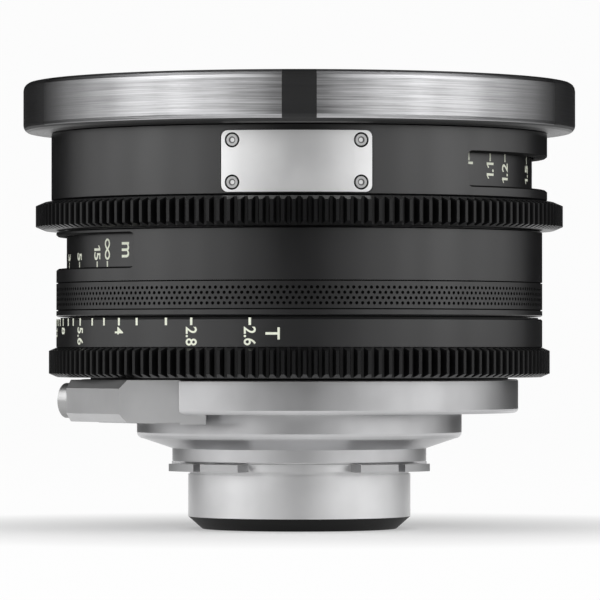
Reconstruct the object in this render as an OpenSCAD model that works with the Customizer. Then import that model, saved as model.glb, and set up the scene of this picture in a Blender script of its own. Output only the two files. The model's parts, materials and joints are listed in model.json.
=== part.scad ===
// Cinema prime lens, standing on its rear end with the front up.
// The optical axis is Z, the rear end is Z = 0 and the nameplate faces -Y.
// An azimuth is an angle round Z, counted from -Y towards +X.

/* [Mount] */
// Diameter of the barrel that enters the camera
mount_barrel_d = 54; // [52:0.1:56]
// Wall of that barrel
mount_wall = 4.1; // [3.6:0.1:4.6]
// Length of the barrel from the end ring to the seat
register_len = 11.2; // [9.5:0.1:14]
// Depth of the undercut below the seat
relief_depth = 0.4; // [0.2:0.05:0.8]
// Length of the undercut
relief_len = 0.9; // [0.5:0.1:2]
// Diameter over the bayonet tabs
tab_d = 69.2; // [66:0.1:74]
// Thickness of the tabs
tab_t = 1.8; // [1.4:0.1:2.4]
// Angle that one tab covers
tab_angle = 40; // [30:1:50]
// Width of the notch in each tab
tab_notch_w = 2.3; // [1.5:0.1:3]
// Depth of the notch
tab_notch_depth = 2.5; // [1.5:0.1:3.5]
// Width of the seat ring between the tabs
seat_ring_w = 1.9; // [1.3:0.1:3]
// Thickness of the shim on the seat ring
shim_t = 0.2; // [0.1:0.05:0.5]

/* [End ring] */
// Length of the end ring that shows
baffle_len = 3; // [2:0.1:4]
// Width of its cone
baffle_cone_w = 3.4; // [2:0.1:4.5]
// Wall of its spigot
baffle_wall = 2.35; // [1.8:0.05:4.5]
// How far its spigot enters the barrel
baffle_spigot = 2.5; // [1.5:0.1:3.5]

/* [Rear housing] */
// How far the neck stands out of the mount's barrel
neck_rim = 3.85; // [3:0.05:5]
// Length of the neck
neck_len = 3.3; // [2.8:0.1:4.5]
// Wall of the neck
neck_wall = 2.55; // [2:0.05:3]
// Floor of the neck that the mount is screwed to
neck_floor = 2.5; // [2:0.1:3]
// Length of the cone between neck and step
cone_len = 2.4; // [1.8:0.1:4]
// Diameter of the step
step_d = 78.9; // [77:0.1:82]
// Length of the step
step_len = 6.2; // [5.5:0.1:8]
// Corner radius between cone and step
step_corner = 1.5; // [0.5:0.1:2]
// Diameter of the flange
flange_d = 106.3; // [104:0.1:110]
// Length of the flange
flange_len = 8.1; // [7.5:0.1:10]
// Corner radius at the rear of the flange
flange_corner = 1; // [0.4:0.1:1.5]
// Diameter of the flange of the rear cell
cell_flange_d = 75.8; // [74:0.1:77]
// Thickness of that flange
cell_flange_t = 3; // [2.6:0.1:3.4]
// Width of the ledge under that flange
cell_ledge = 6.9; // [6:0.1:8]

/* [Data port] */
// Azimuth that the port faces
port_az = -60; // [-75:1:-50]
// How far the port stands out of the flange
port_reach = 5.75; // [4.5:0.05:8]
// Width of its outer face
port_face_w = 26.7; // [22:0.1:30]
// Sideways shift of the outer face
port_shift = 4.15; // [2:0.05:6]
// Flare of its side faces
port_flare = 30; // [25:1:35]
// Distance of the port's root from the step
port_step_gap = 3.55; // [3:0.05:6]
// How far the body hangs below the flange
port_drop = 1.9; // [1.2:0.1:2.2]
// Thickness of the lip under the flange
port_lip_t = 2.3; // [2:0.1:3]
// Depth of the lip beyond the body
port_lip_depth = 5.5; // [5:0.1:6]
// Distance of the lip's end from the middle of the lens
port_lip_end = 21.9; // [20:0.1:22.5]
// Chamfer of the outer face, along the face and across it
port_chamfer = [2, 1.7]; // [1:0.1:3]
// Distance of the port's screws beyond the outer face, sideways
port_bolt_out = 2.8; // [2:0.1:4]
// Gap between port and flange
port_gap = 0.45; // [0.3:0.05:0.6]
// Diameter of the connector
connector_d = 8.4; // [7.6:0.1:8.8]
// How far the connector stands out
connector_len = 2.8; // [2:0.1:4]
// Wall of the connector shell
connector_wall = 1; // [0.8:0.1:1.4]
// Depth of the connector inside the port
connector_depth = 6; // [4:0.1:7]
// Depth of the socket down to the insert
connector_sink = 2.2; // [1.5:0.1:3]
// Distance of the connector from the port's corner
connector_margin = 0.35; // [0.2:0.05:0.5]
// Diameter of a contact
contact_d = 0.7; // [0.5:0.05:0.9]
// Diameter of the circle of contacts
contact_circle_d = 3.84; // [3.4:0.02:4]

/* [Gears] */
// Module of both gears
gear_module = 0.8; // [0.78:0.01:0.82]
// Teeth of the iris gear
iris_teeth = 150; // [147:1:154]
// Teeth of the focus gear
focus_teeth = 158; // [156:1:164]
// Chamfer of the tooth ends across the teeth
tooth_chamfer = 2.1; // [1:0.1:2.5]
// Chamfer of the tooth ends along the teeth
tooth_chamfer_len = 0.9; // [0.5:0.1:1.5]

/* [Iris ring] */
// Diameter of the journal that the iris ring runs on
journal_d = 101.4; // [100.6:0.1:102]
// Wall of the journal
journal_wall = 3.7; // [3.4:0.1:4]
// Floor of the journal
journal_floor = 3.8; // [3.4:0.1:4.4]
// Gap between flange and iris gear
iris_gap = 0.5; // [0.4:0.05:1]
// Length of the iris gear
iris_gear_len = 7.3; // [6.8:0.1:9]
// Length of the iris scale
iris_scale_len = 6.7; // [6.2:0.1:9]
// Gap between iris scale and main barrel
iris_top_gap = 0.6; // [0.4:0.05:1]
// Width of the groove between them, outside the iris ring's lip
iris_groove_w = 1; // [0.6:0.1:2]
// Gap between that lip and main barrel
iris_lip_gap = 0.25; // [0.2:0.05:0.35]
// Wall of the ring that carries gear and scale
iris_ring_wall = 4.25; // [4:0.05:5]
// Turn of the iris ring from open to closed
iris_throw = 86.8; // [80:0.1:92]
// Turn that is left before closed, as shown
iris_rest = 8; // [2:0.1:14]
// Diameter of the pin that drives the cam ring
drive_pin_d = 2; // [1.6:0.1:2.4]
// How far the drive pin enters the iris ring
drive_pin_grip = 3.2; // [2.4:0.1:3.6]

/* [Iris] */
// Diameter of the open aperture
iris_open_d = 26; // [24:0.1:27]
// Width of a blade
blade_w = 8; // [7:0.1:8.5]
// Thickness of a blade
blade_t = 0.2; // [0.15:0.01:0.24]
// Distance from one blade to the next
blade_pitch = 0.35; // [0.34:0.01:0.38]
// Arc of a blade
blade_arc = 125; // [110:1:135]
// Arc of a blade behind its pivot
blade_tail = 10; // [6:1:14]
// Turn of a blade for each turn of the iris ring
blade_ratio = 0.315; // [0.28:0.001:0.32]
// Distance of the pivot from the blade's outer edge
pivot_gap = 3.2; // [2.8:0.1:3.6]
// Diameter of the pivot pin
pivot_d = 1.2; // [1:0.05:1.4]
// Length of the arm from pivot to cam pin
blade_arm = 14; // [13:0.1:14.5]
// Diameter of the cam pin
cam_pin_d = 1; // [0.8:0.05:1.1]
// Thickness of the base plate
iris_plate_t = 1.5; // [1.2:0.1:1.8]
// Thickness of the cam ring
cam_ring_t = 1.5; // [1.2:0.1:1.8]
// Width of the cam ring's rim
cam_rim_w = 3.95; // [3.4:0.05:4]

/* [Focus] */
// Length of the focus gear
focus_gear_len = 6.8; // [6.4:0.1:9]
// Gap on both sides of the focus gear
focus_gap = 0.3; // [0.3:0.05:0.6]
// Turn of the focus ring from far to near
focus_throw = 200; // [180:1:210]
// Turn from far to the distance shown
focus_rest = 36.6; // [10:0.1:60]
// Travel of the focus carriage
focus_travel = 9; // [8.6:0.1:10]
// Diameter of the carriage followers
follower_d = 3; // [2.6:0.1:3.2]
// Wall of the cam sleeve
cam_wall = 2.95; // [2.6:0.05:3.4]
// Wall of the scale sleeve
scale_wall = 2.5; // [2:0.05:3]
// Gap between scale sleeve and barrels
sleeve_gap = 0.5; // [0.4:0.05:0.8]
// Wall of the carriage's rim
carriage_wall = 3; // [2.4:0.1:4]
// Thickness of the carriage's web
carriage_web = 3; // [2:0.1:4]
// Diameter of the carriage's glass bore
carriage_bore_d = 60.2; // [56:0.1:64]

/* [Barrels] */
// Outer diameter of the inner barrel
inner_barrel_d = 102; // [101:0.1:103]
// Wall of the inner barrel
inner_wall = 2.5; // [2.2:0.1:2.8]
// Thickness of the inner barrel's foot and front lip
inner_foot_t = 3; // [2.6:0.1:3.6]
// Length of the main barrel
main_len = 20.6; // [19.6:0.1:24]
// Wall of the main barrel
main_wall = 2; // [1.8:0.1:2.6]
// Thickness of the main barrel's rear wall
main_floor = 3; // [2.6:0.1:3.6]
// Opening of the main barrel's rear wall
main_opening_d = 88; // [84:0.1:90]
// Distance of the grip band from the barrel's end
grip_margin = 1.4; // [1:0.1:2]
// Width of the grip band
grip_w = 6.9; // [5:0.1:8]
// Thickness of the grip band
grip_t = 0.8; // [0.5:0.05:1]
// Length of the front barrel
front_len = 16.5; // [16:0.1:20]
// Wall of the front barrel
front_wall = 3.2; // [2.8:0.1:4]
// Thickness of the front barrel's front wall
front_web = 3.8; // [3.4:0.1:4.4]
// Angle that a window covers
window_angle = 97.8; // [80:0.1:100]
// Height of the windows
window_h = 8.6; // [7:0.1:8.8]
// Distance of the main barrel's window from its gear end
window_margin = 0.8; // [0.6:0.1:1.5]
// Distance of the front barrel's window from its gear end
front_window_margin = 2.2; // [1.5:0.1:3]
// Corner radius of the windows
window_corner = 1; // [0.5:0.1:2]

/* [Nameplate] */
// Angle that the nameplate covers
plate_angle = 33.8; // [30:0.1:36]
// Azimuth of the middle of the nameplate
plate_azimuth = -0.6; // [-1:0.1:1]
// Height of the nameplate
plate_h = 14.3; // [13:0.1:14.6]
// Distance of the nameplate from the gear end
plate_margin = 0.6; // [0.5:0.1:1]
// Thickness of the nameplate
plate_t = 1; // [0.8:0.1:1.2]
// Corner radius of the nameplate
plate_corner = 1.5; // [1:0.1:2.5]
// Gap round the nameplate
plate_gap = 0.2; // [0.1:0.05:0.4]
// Distance of its screws from its short edges, as an angle
plate_screw_angle = 2.5; // [2:0.1:4]
// Distance of its screws from its long edges
plate_screw_margin = 2.25; // [2:0.05:3]
// Diameter of the screw heads
plate_head_d = 2.7; // [2:0.1:2.8]
// Diameter of the counterbores
plate_sink_d = 3.5; // [3:0.02:3.6]
// Height of the screw heads
plate_head_h = 0.6; // [0.5:0.05:0.7]
// Diameter of the screw shanks
plate_shank_d = 1.4; // [1.2:0.1:1.6]

/* [Front] */
// Diameter of the front ring
front_ring_d = 134; // [131:0.1:140]
// Length of the front ring
front_ring_len = 12.2; // [11.6:0.1:16]
// Diameter of the front bore
front_bore_d = 122; // [121:0.1:125]
// Thickness of the front ring's inner flange
ring_flange_t = 3; // [2.6:0.1:3.4]
// Corner radius at the rear of the front ring
ring_corner = 1.8; // [0.5:0.1:2.4]
// Corner radius at the front of the front ring
ring_nose = 2; // [0.5:0.1:2.4]
// Outer diameter of the front cell's tube
front_cell_d = 92; // [91:0.1:93]
// Wall of the front cell's tube
front_cell_wall = 4.9; // [4:0.1:5.5]
// Length of that tube
front_cell_len = 11.3; // [10.5:0.1:12]
// Diameter of the front cell's flange
front_flange_d = 111; // [110:0.1:112]
// Bore for the front element
front_glass_bore_d = 97; // [96:0.1:98]
// Wall of the collar round the front element
front_collar_wall = 3; // [2.5:0.1:3.2]
// Height of that collar above the flange
front_collar_h = 1.7; // [1.4:0.1:2.4]
// Height of the bezel above the flange
bezel_h = 3.6; // [3.4:0.1:4]
// Step between the front bore and the bezel's seat
bezel_step = 0.5; // [0.3:0.1:0.8]

/* [Glass] */
// Wall of the rear cell
cell_wall = 2.4; // [2:0.1:3]
// Gap between rear cell and mount
cell_gap = 0.4; // [0.3:0.05:0.6]
// Gap between a glass edge and its cell
glass_clear = 0.1; // [0.05:0.01:0.2]
// Least air gap between two elements
air_gap = 0.4; // [0.3:0.05:1]
// Width of a retaining ring or spacer
retainer_w = 1.4; // [1:0.1:2]
// Height of a retaining ring
retainer_h = 1.1; // [0.8:0.1:1.3]
// Lip that holds the last element of a cell
glass_lip = 1.2; // [1:0.1:1.6]

/* [Screws] */
// Diameter of the cap screws
screw_d = 2; // [1.6:0.1:2.2]
// Diameter of their heads
screw_head_d = 3.4; // [3:0.1:3.6]
// Height of their heads
screw_head_h = 1.2; // [1:0.05:1.3]
// Width over corners of their sockets
screw_socket_d = 1.5; // [1.2:0.1:1.7]
// Depth of thread in the solid
thread_depth = 3.5; // [3:0.1:4]
// How far the heads lie below the surface
head_recess = 0.1; // [0.05:0.05:0.2]

/* [Clearances] */
// Running clearance of a turning or sliding ring
run_clear = 0.05; // [0.03:0.01:0.08]
// Clearance of a locating fit or a screw
fit_clear = 0.05; // [0.03:0.01:0.08]
// Clearance of a pin in its cam slot
cam_clear = 0.3; // [0.25:0.01:0.35]
// Clearance of a follower in its straight slot
guide_clear = 0.1; // [0.08:0.01:0.15]
// Clearance between parts that pass each other
pass_clear = 0.5; // [0.4:0.05:0.6]
// Break of the visible edges
edge_break = 0.3; // [0.1:0.05:0.4]

/* [Hidden] */
$fn = 96;
// Overshoot of a cut through a face
over = 1;
blade_count = 9;
// Contacts round the one in the middle
contact_ring = 6;
// Steps round a glass surface
ball_steps = 480;
// Steps of a quarter round in a profile
quarter_steps = 4;
// Azimuths of the bayonet tabs
tab_azimuths = [45 : 90 : 315];
// Half width of a gear tooth at its root and at its tip, in pitches
root_half = 0.36;
tip_half = 0.15;
// Height of a gear tooth outside and inside its pitch circle, in modules
addendum = 1;
dedendum = 1.25;

// Heights along the axis
z_seat = baffle_len + register_len;
z_shim = z_seat + tab_t;
z_base = z_shim + shim_t;
z_cone = z_base + neck_len;
z_step = z_cone + cone_len;
z_flange = z_step + step_len;
z_journal = z_flange + flange_len;
z_cell = z_journal - cell_flange_t;
z_iris = z_journal + iris_gap;
z_iris_scale = z_iris + iris_gear_len;
z_iris_top = z_iris_scale + iris_scale_len;
z_main = z_iris_top + iris_top_gap;
z_foot = z_main + main_floor;
z_main_top = z_main + main_len;
z_focus = z_main_top + focus_gap;
z_focus_top = z_focus + focus_gear_len;
z_front = z_focus_top + focus_gap;
z_ring = z_front + front_len;
z_web = z_ring - front_web;
z_bezel = z_ring + ring_flange_t;
z_top = z_ring + front_ring_len;

// Radii from the axis outwards
mount_r = mount_barrel_d / 2;
mount_bore_r = mount_r - mount_wall;
seat_ring_r = mount_r + seat_ring_w;
baffle_bore_r = mount_bore_r - fit_clear - baffle_wall;
cell_r = mount_bore_r - cell_gap;
rear_bore_r = cell_r - cell_wall;
neck_r = mount_r + neck_rim;
base_bore_r = neck_r - neck_wall;
step_r = step_d / 2;
flange_r = flange_d / 2;
cell_flange_r = cell_flange_d / 2;
housing_bore_r = cell_flange_r - cell_ledge;
journal_r = journal_d / 2;
journal_bore_r = journal_r - journal_wall;
journal_floor_r = cell_flange_r + pass_clear;
iris_bore_r = journal_r + run_clear;
iris_seat_r = iris_bore_r + iris_ring_wall;
inner_r = inner_barrel_d / 2;
inner_bore_r = inner_r - inner_wall;
cam_bore_r = inner_r + run_clear;
cam_r = cam_bore_r + cam_wall;
scale_r = cam_r + scale_wall;
barrel_bore_r = scale_r + sleeve_gap;
main_r = barrel_bore_r + main_wall;
front_r = barrel_bore_r + front_wall;
ring_r = front_ring_d / 2;
front_bore_r = front_bore_d / 2;
front_cell_r = front_cell_d / 2;
front_flange_r = front_flange_d / 2;
front_glass_bore_r = front_glass_bore_d / 2;
front_collar_r = front_glass_bore_r + front_collar_wall;
ring_flange_bore_r = front_flange_r + fit_clear;
// Half width of a window for each unit of radius
window_half = sin(window_angle / 2);
bezel_r = front_bore_r - bezel_step - fit_clear;

// Sleeves of the focus ring, held between the foot and the front wall
z_sleeve = z_foot + inner_foot_t + pass_clear;
z_sleeve_top = z_web - pass_clear;

// Focus carriage: heights as shown, and what is left to both ends of its travel
follower_r = follower_d / 2;
follower_count = 3;
follower_az = 60;
focus_lead = focus_travel / focus_throw;
z_follow_far = z_focus - focus_travel / 2;
z_follow_near = z_follow_far + focus_travel;
z_follow = z_follow_far + focus_lead * focus_rest;
z_carriage = z_foot + pass_clear + focus_lead * focus_rest;
z_carriage_top = z_follow + follower_d;
z_carriage_web = (z_carriage + z_carriage_top - carriage_web) / 2;
carriage_r = inner_bore_r - run_clear;
carriage_bore_r = carriage_bore_d / 2;
carriage_cell_r = carriage_bore_r + carriage_wall;
cam_slot_step = 10;

// Iris: heights, pivot circle and blade angle as shown
z_plate = z_journal + journal_floor;
z_plate_top = z_plate + iris_plate_t;
z_blades = z_plate_top + cam_clear;
z_cam = z_blades + blade_count * blade_pitch + cam_clear;
z_cam_top = z_cam + cam_ring_t;
z_cam_rim = z_plate_top + pass_clear;
z_drive = (z_cam_rim + z_cam_top) / 2;
iris_open_r = iris_open_d / 2;
blade_outer_r = iris_open_r + blade_w;
pivot_r = blade_outer_r + pivot_gap;
blade_turn = blade_ratio * (iris_throw - iris_rest);
cam_slot_r = cam_pin_d / 2 + cam_clear;
cam_slot_steps = 16;
cam_ring_r = journal_bore_r - run_clear;
cam_rim_r = cam_ring_r - cam_rim_w;
cam_inner_r = norm([pivot_r, blade_arm]) - cam_slot_r - pivot_gap / 2;
drive_az = 180;
drive_slot_edge = asin((drive_pin_d / 2 + pass_clear) / journal_bore_r);

// Elements of each group from front to rear: edge, front radius, rear radius.
// A radius above zero bulges out of the element, one below zero hollows it.
front_glass_1 = [2, 300, -400];
front_glass_2 = [4, 110, -90];
focus_glass = [[3, 90, 120], [9, -150, -110]];
rear_glass = [[2.5, 80, 70], [8, -90, -60], [3.5, 80, 70], [4, 80, 0]];
focus_glass_r = carriage_bore_r - glass_clear;
rear_glass_r = rear_bore_r - glass_clear;
front_glass_r = front_glass_bore_r - glass_clear;
front_bore_2_r = front_cell_r - front_cell_wall;
front_glass_2_r = front_bore_2_r - glass_clear;
z_front_seat = z_ring + pass_clear;
z_front_cell = z_ring - front_cell_len;
z_front_glass_2 = z_front_cell + glass_lip + front_glass_2[0];
z_focus_glass = z_carriage_top - retainer_h - air_gap;
z_rear_glass = z_journal;
z_cell_end = glass_end(rear_glass, rear_glass_r, z_rear_glass) - glass_lip;
z_carriage_end = glass_end(focus_glass, focus_glass_r, z_focus_glass) - glass_lip;
z_cell_top = z_rear_glass + edge_rise(rear_glass[0][1], rear_glass_r) + retainer_h + fit_clear;

// Screw circles: count, radius, first azimuth, height of the head's seat, length under the head
sink = screw_head_h + head_recess;
mount_bolts = [6, mount_r - mount_wall / 2, 0, z_base + neck_floor, neck_floor + shim_t + thread_depth];
base_bolts = [
  6, (housing_bore_r + cell_flange_r) / 2, 0,
  z_cell - sink, z_cell - sink - z_flange + thread_depth
];
cell_bolts = [3, base_bolts[1], 30, z_journal - sink, cell_flange_t - sink + thread_depth];
journal_bolts = [
  6, (journal_floor_r + journal_bore_r) / 2, 30,
  z_plate - sink, journal_floor - sink + thread_depth
];
plate_bolts = [
  3, journal_floor_r + screw_head_d / 2 + fit_clear, 0,
  z_plate_top, iris_plate_t + journal_floor / 2
];
main_bolts = [6, journal_r - journal_wall / 2, 20, z_foot - sink, main_floor - sink + thread_depth];
foot_bolts = [
  6, (inner_r + scale_r) / 2, 50,
  z_foot + inner_foot_t - sink, inner_foot_t - sink + main_floor - pass_clear
];
web_bolts = [
  6, (front_cell_r + inner_r) / 2, 0,
  z_ring - sink, front_web - sink + inner_foot_t - pass_clear
];
front_bolt_reach = ring_flange_t - sink + front_web - pass_clear;
ring_bolts = [6, (ring_flange_bore_r + front_bore_r) / 2, 30, z_bezel - sink, front_bolt_reach];
front_bolts = [4, (front_collar_r + front_flange_r) / 2, 45, z_bezel - sink, front_bolt_reach];

// Data port in its own directions: X away from the lens, Y sideways
port_face = flange_r + port_reach;
port_root = step_r + port_step_gap;
port_depth = port_face - port_root;
port_lip_root = port_root - port_lip_depth;
z_port = z_flange - port_drop;
z_port_lip = z_flange - port_lip_t;
z_connector = (z_port + z_journal) / 2;
connector_r = connector_d / 2;
connector_bore_r = connector_r - connector_wall;
connector_slide = connector_r + connector_margin;
port_bolt_x = port_root - screw_head_d / 2 - port_gap - fit_clear;
port_bolt_y = [for (side = [-1, 1]) port_shift + side * (port_face_w / 2 + port_bolt_out)];

// Height of a round surface over its edge, below zero where it is hollow
function sag(curve, r) = curve == 0 ? 0 : sign(curve) * (abs(curve) - sqrt(curve * curve - r * r));

// Rise of a round surface from its edge to the inner edge of a retaining ring
function edge_rise(curve, r) = max(0, sag(curve, r) - sag(curve, r - retainer_w));

// Gap between the edges of element i and the next one
function edge_gap(group, r, i) =
  let (bulge = sag(group[i][2], r) + sag(group[i + 1][1], r) + air_gap)
  let (spacer = edge_rise(group[i][2], r) + edge_rise(group[i + 1][1], r) + air_gap)
  max(bulge, spacer);

// Height of the front edge of element i in a group whose first edge is at the given top
function glass_top(group, r, top, i) =
  i == 0 ? top : glass_top(group, r, top, i - 1) - group[i - 1][0] - edge_gap(group, r, i - 1);

// Height of the rear edge of the last element
function glass_end(group, r, top) =
  let (last = len(group) - 1)
  glass_top(group, r, top, last) - group[last][0];

function turned_by(p, a) = [p[0] * cos(a) - p[1] * sin(a), p[0] * sin(a) + p[1] * cos(a)];

// Cam pin of a blade whose pivot lies on X, and its place in the cam ring, at a turn of the iris ring
function cam_pin(turn) = [pivot_r, 0] + turned_by([0, -blade_arm], blade_ratio * turn);
function cam_point(turn) = turned_by(cam_pin(turn), iris_throw - iris_rest - turn);

function tip_radius(teeth) = gear_module * (teeth / 2 + addendum);
function root_radius(teeth) = gear_module * (teeth / 2 - dedendum);

// Points of a gear, four for each tooth
function gear_points(teeth) =
  let (pitch = 360 / teeth, tip = tip_radius(teeth), root = root_radius(teeth))
  let (tooth = [[root, -root_half], [tip, -tip_half], [tip, tip_half], [root, root_half]])
  [for (i = [0 : teeth - 1], p = tooth) p[0] * [cos((i + p[1]) * pitch), sin((i + p[1]) * pitch)]];

// Points of a quarter round in a profile
function quarter(center, r, start) =
  [for (i = [0 : quarter_steps])
    let (a = start + 90 * i / quarter_steps)
    center + r * [cos(a), sin(a)]];

module at_az(a) {
  rotate([0, 0, a - 90]) children();
}

module ring(r0, r1, z0, z1) {
  rotate_extrude() polygon([[r0, z0], [r1, z0], [r1, z1], [r0, z1]]);
}

module turned(points) {
  rotate_extrude() polygon(points);
}

// Part of a ring, on both sides of X
module arc_block(r0, r1, half, z0, z1) {
  rotate([0, 0, -half])
    rotate_extrude(angle = 2 * half) polygon([[r0, z0], [r1, z0], [r1, z1], [r0, z1]]);
}

// Part of a ring inside an outline with round corners, as seen from an azimuth
module panel(a, r0, r1, half_w, z0, z1, corner) {
  intersection() {
    ring(r0, r1, z0 - over, z1 + over);
    rotate([90, 0, a])
      linear_extrude(r1 + over)
        polygon(concat(
          quarter([half_w - corner, z0 + corner], corner, -90),
          quarter([half_w - corner, z1 - corner], corner, 0),
          quarter([corner - half_w, z1 - corner], corner, 90),
          quarter([corner - half_w, z0 + corner], corner, 180)
        ));
  }
}

// Cap screw with its head's seat at the origin
module screw(reach) {
  difference() {
    union() {
      translate([0, 0, -reach]) cylinder(d = screw_d, h = reach + screw_head_h / 2);
      cylinder(d = screw_head_d, h = screw_head_h);
    }
    translate([0, 0, screw_head_h / 2]) cylinder(d = screw_socket_d, h = screw_head_h, $fn = 6);
  }
}

// Hole for a cap screw, with its head sunk
module screw_hole(reach) {
  translate([0, 0, -reach - fit_clear]) cylinder(r = screw_d / 2 + fit_clear, h = reach + over);
  cylinder(r = screw_head_d / 2 + fit_clear, h = screw_head_h + over);
}

module on_circle(bolts) {
  for (i = [0 : bolts[0] - 1])
    at_az(bolts[2] + 360 * i / bolts[0]) translate([bolts[1], 0, bolts[3]]) children();
}

module screws(bolts) {
  on_circle(bolts) screw(bolts[4]);
}

module screw_holes(bolts) {
  on_circle(bolts) screw_hole(bolts[4]);
}

// Lens element with its front edge at the given height
module element(glass, r, top) {
  edge = glass[0];
  front = glass[1];
  rear = glass[2];
  z1 = top + max(0, sag(front, r));
  z0 = top - edge - max(0, sag(rear, r));
  difference() {
    bulged(front, z1 - front) bulged(rear, z0 + rear)
      translate([0, 0, front > 0 || rear > 0 ? z0 : top - edge]) cylinder(r = r, h = z1 - z0);
    if (front < 0) translate([0, 0, top + sag(front, r) - front]) ball(-front);
    if (rear < 0) translate([0, 0, top - edge - sag(rear, r) + rear]) ball(-rear);
  }
}

// Sphere of a glass surface
module ball(r) {
  sphere(r = r, $fn = ball_steps);
}

// Cut by a sphere where the surface bulges
module bulged(curve, z) {
  if (curve > 0)
    intersection() {
      children();
      translate([0, 0, z]) ball(curve);
    }
  else
    children();
}

// Spacer between element i and the next one
module spacer(group, r, top, i) {
  z1 = glass_top(group, r, top, i) - group[i][0] - edge_rise(group[i][2], r) - fit_clear;
  z0 = glass_top(group, r, top, i + 1) + edge_rise(group[i + 1][1], r) + fit_clear;
  ring(r - retainer_w, r, z0, z1);
}

// Retaining ring in front of an element
module retainer(glass, r, top) {
  z0 = top + edge_rise(glass[1], r) + fit_clear;
  ring(r - retainer_w, r, z0, z0 + retainer_h);
}

module gear(teeth, bore, z0, z1) {
  tip = tip_radius(teeth);
  intersection() {
    translate([0, 0, z0]) linear_extrude(z1 - z0) polygon(gear_points(teeth));
    turned([
      [bore, z0], [tip - tooth_chamfer, z0], [tip + tooth_chamfer, z0 + 2 * tooth_chamfer_len],
      [tip + tooth_chamfer, z1 - 2 * tooth_chamfer_len], [tip - tooth_chamfer, z1], [bore, z1]
    ]);
  }
}

module rear_baffle() {
  color("#1b1b1c") turned([
    [baffle_bore_r, 0], [mount_r - baffle_cone_w, 0], [mount_r, baffle_len],
    [mount_bore_r - fit_clear, baffle_len], [mount_bore_r - fit_clear, baffle_len + baffle_spigot],
    [baffle_bore_r, baffle_len + baffle_spigot]
  ]);
}

module lens_mount() {
  color("#c9c9c6") difference() {
    union() {
      turned([
        [mount_bore_r, baffle_len], [mount_r, baffle_len], [mount_r, z_seat - relief_len],
        [mount_r - relief_depth, z_seat - relief_len], [mount_r - relief_depth, z_seat],
        [seat_ring_r, z_seat], [seat_ring_r, z_shim], [mount_bore_r, z_shim]
      ]);
      for (a = tab_azimuths)
        at_az(a) arc_block(mount_r - relief_depth, tab_d / 2, tab_angle / 2, z_seat, z_shim);
    }
    for (a = tab_azimuths)
      at_az(a)
        translate([tab_d / 2 - tab_notch_depth, -tab_notch_w / 2, z_seat - over])
          cube([tab_notch_depth + over, tab_notch_w, tab_t + 2 * over]);
    screw_holes(mount_bolts);
  }
}

module mount_shim() {
  color("#8a8a88") difference() {
    ring(mount_bore_r, seat_ring_r, z_shim, z_base);
    screw_holes(mount_bolts);
  }
}

module mount_base() {
  color("#c9c9c6") difference() {
    turned(concat(
      [[mount_bore_r, z_base], [neck_r - edge_break, z_base], [neck_r, z_base + edge_break],
        [neck_r, z_cone]],
      quarter([step_r - step_corner, z_step + step_corner], step_corner, -90),
      [[step_r, z_flange], [base_bore_r, z_flange],
        [base_bore_r, z_base + neck_floor], [mount_bore_r, z_base + neck_floor]]
    ));
    screw_holes(mount_bolts);
    screw_holes(base_bolts);
  }
}

module mount_screws() {
  color("#8f8f8c") screws(mount_bolts);
}

module rear_housing() {
  color("#c9c9c6") difference() {
    turned(concat(
      [[housing_bore_r, z_flange]],
      quarter([flange_r - flange_corner, z_flange + flange_corner], flange_corner, -90),
      [[flange_r, z_journal - edge_break], [flange_r - edge_break, z_journal]],
      [[cell_flange_r + fit_clear, z_journal], [cell_flange_r + fit_clear, z_cell], [housing_bore_r, z_cell]]
    ));
    at_az(port_az)
      translate([0, 0, z_flange - over])
        linear_extrude(flange_len + 2 * over) polygon(port_outline(port_root - port_gap, port_gap, over));
    screw_holes(base_bolts);
    screw_holes(cell_bolts);
    screw_holes(journal_bolts);
    port_bolts() screw_hole(port_lip_t - sink + thread_depth);
  }
}

module housing_screws() {
  color("#4a4a4c") {
    screws(base_bolts);
    screws(cell_bolts);
    screws(journal_bolts);
  }
}

module rear_cell() {
  color("#232324") difference() {
    turned([
      [rear_bore_r - glass_lip, z_cell_end], [cell_r, z_cell_end], [cell_r, z_cell], [cell_flange_r, z_cell],
      [cell_flange_r, z_journal], [cell_r, z_journal], [cell_r, z_cell_top], [rear_bore_r, z_cell_top],
      [rear_bore_r, z_cell_end + glass_lip], [rear_bore_r - glass_lip, z_cell_end + glass_lip]
    ]);
    screw_holes(cell_bolts);
  }
}

module rear_element(i) {
  color("#9fb6c4")
    element(rear_glass[i - 1], rear_glass_r, glass_top(rear_glass, rear_glass_r, z_rear_glass, i - 1));
}

module rear_spacers() {
  color("#232324")
    for (i = [0 : len(rear_glass) - 2]) spacer(rear_glass, rear_glass_r, z_rear_glass, i);
}

module rear_retainer() {
  color("#232324") retainer(rear_glass[0], rear_glass_r, z_rear_glass);
}

// Plan of the data port from the given root outwards, wider by a gap, longer by an extra
function port_outline(root, gap, extra) =
  let (side = port_face_w / 2 + gap / cos(port_flare), tip = port_face + extra, slope = tan(port_flare))
  [[root, port_shift - side - (port_face - root) * slope], [tip, port_shift - side + extra * slope],
    [tip, port_shift + side - extra * slope], [root, port_shift + side + (port_face - root) * slope]];

// Screws of the port, from below into the flange
module port_bolts() {
  at_az(port_az)
    for (y = port_bolt_y)
      translate([port_bolt_x, y, z_port_lip + sink]) rotate([180, 0, 0]) children();
}

// Connector axis, with Z out of the port's side face
module at_connector() {
  at_az(port_az)
    translate([port_face, port_shift - port_face_w / 2, z_connector])
      rotate([90, 0, port_flare]) translate([-connector_slide, 0, 0]) children();
}

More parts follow.
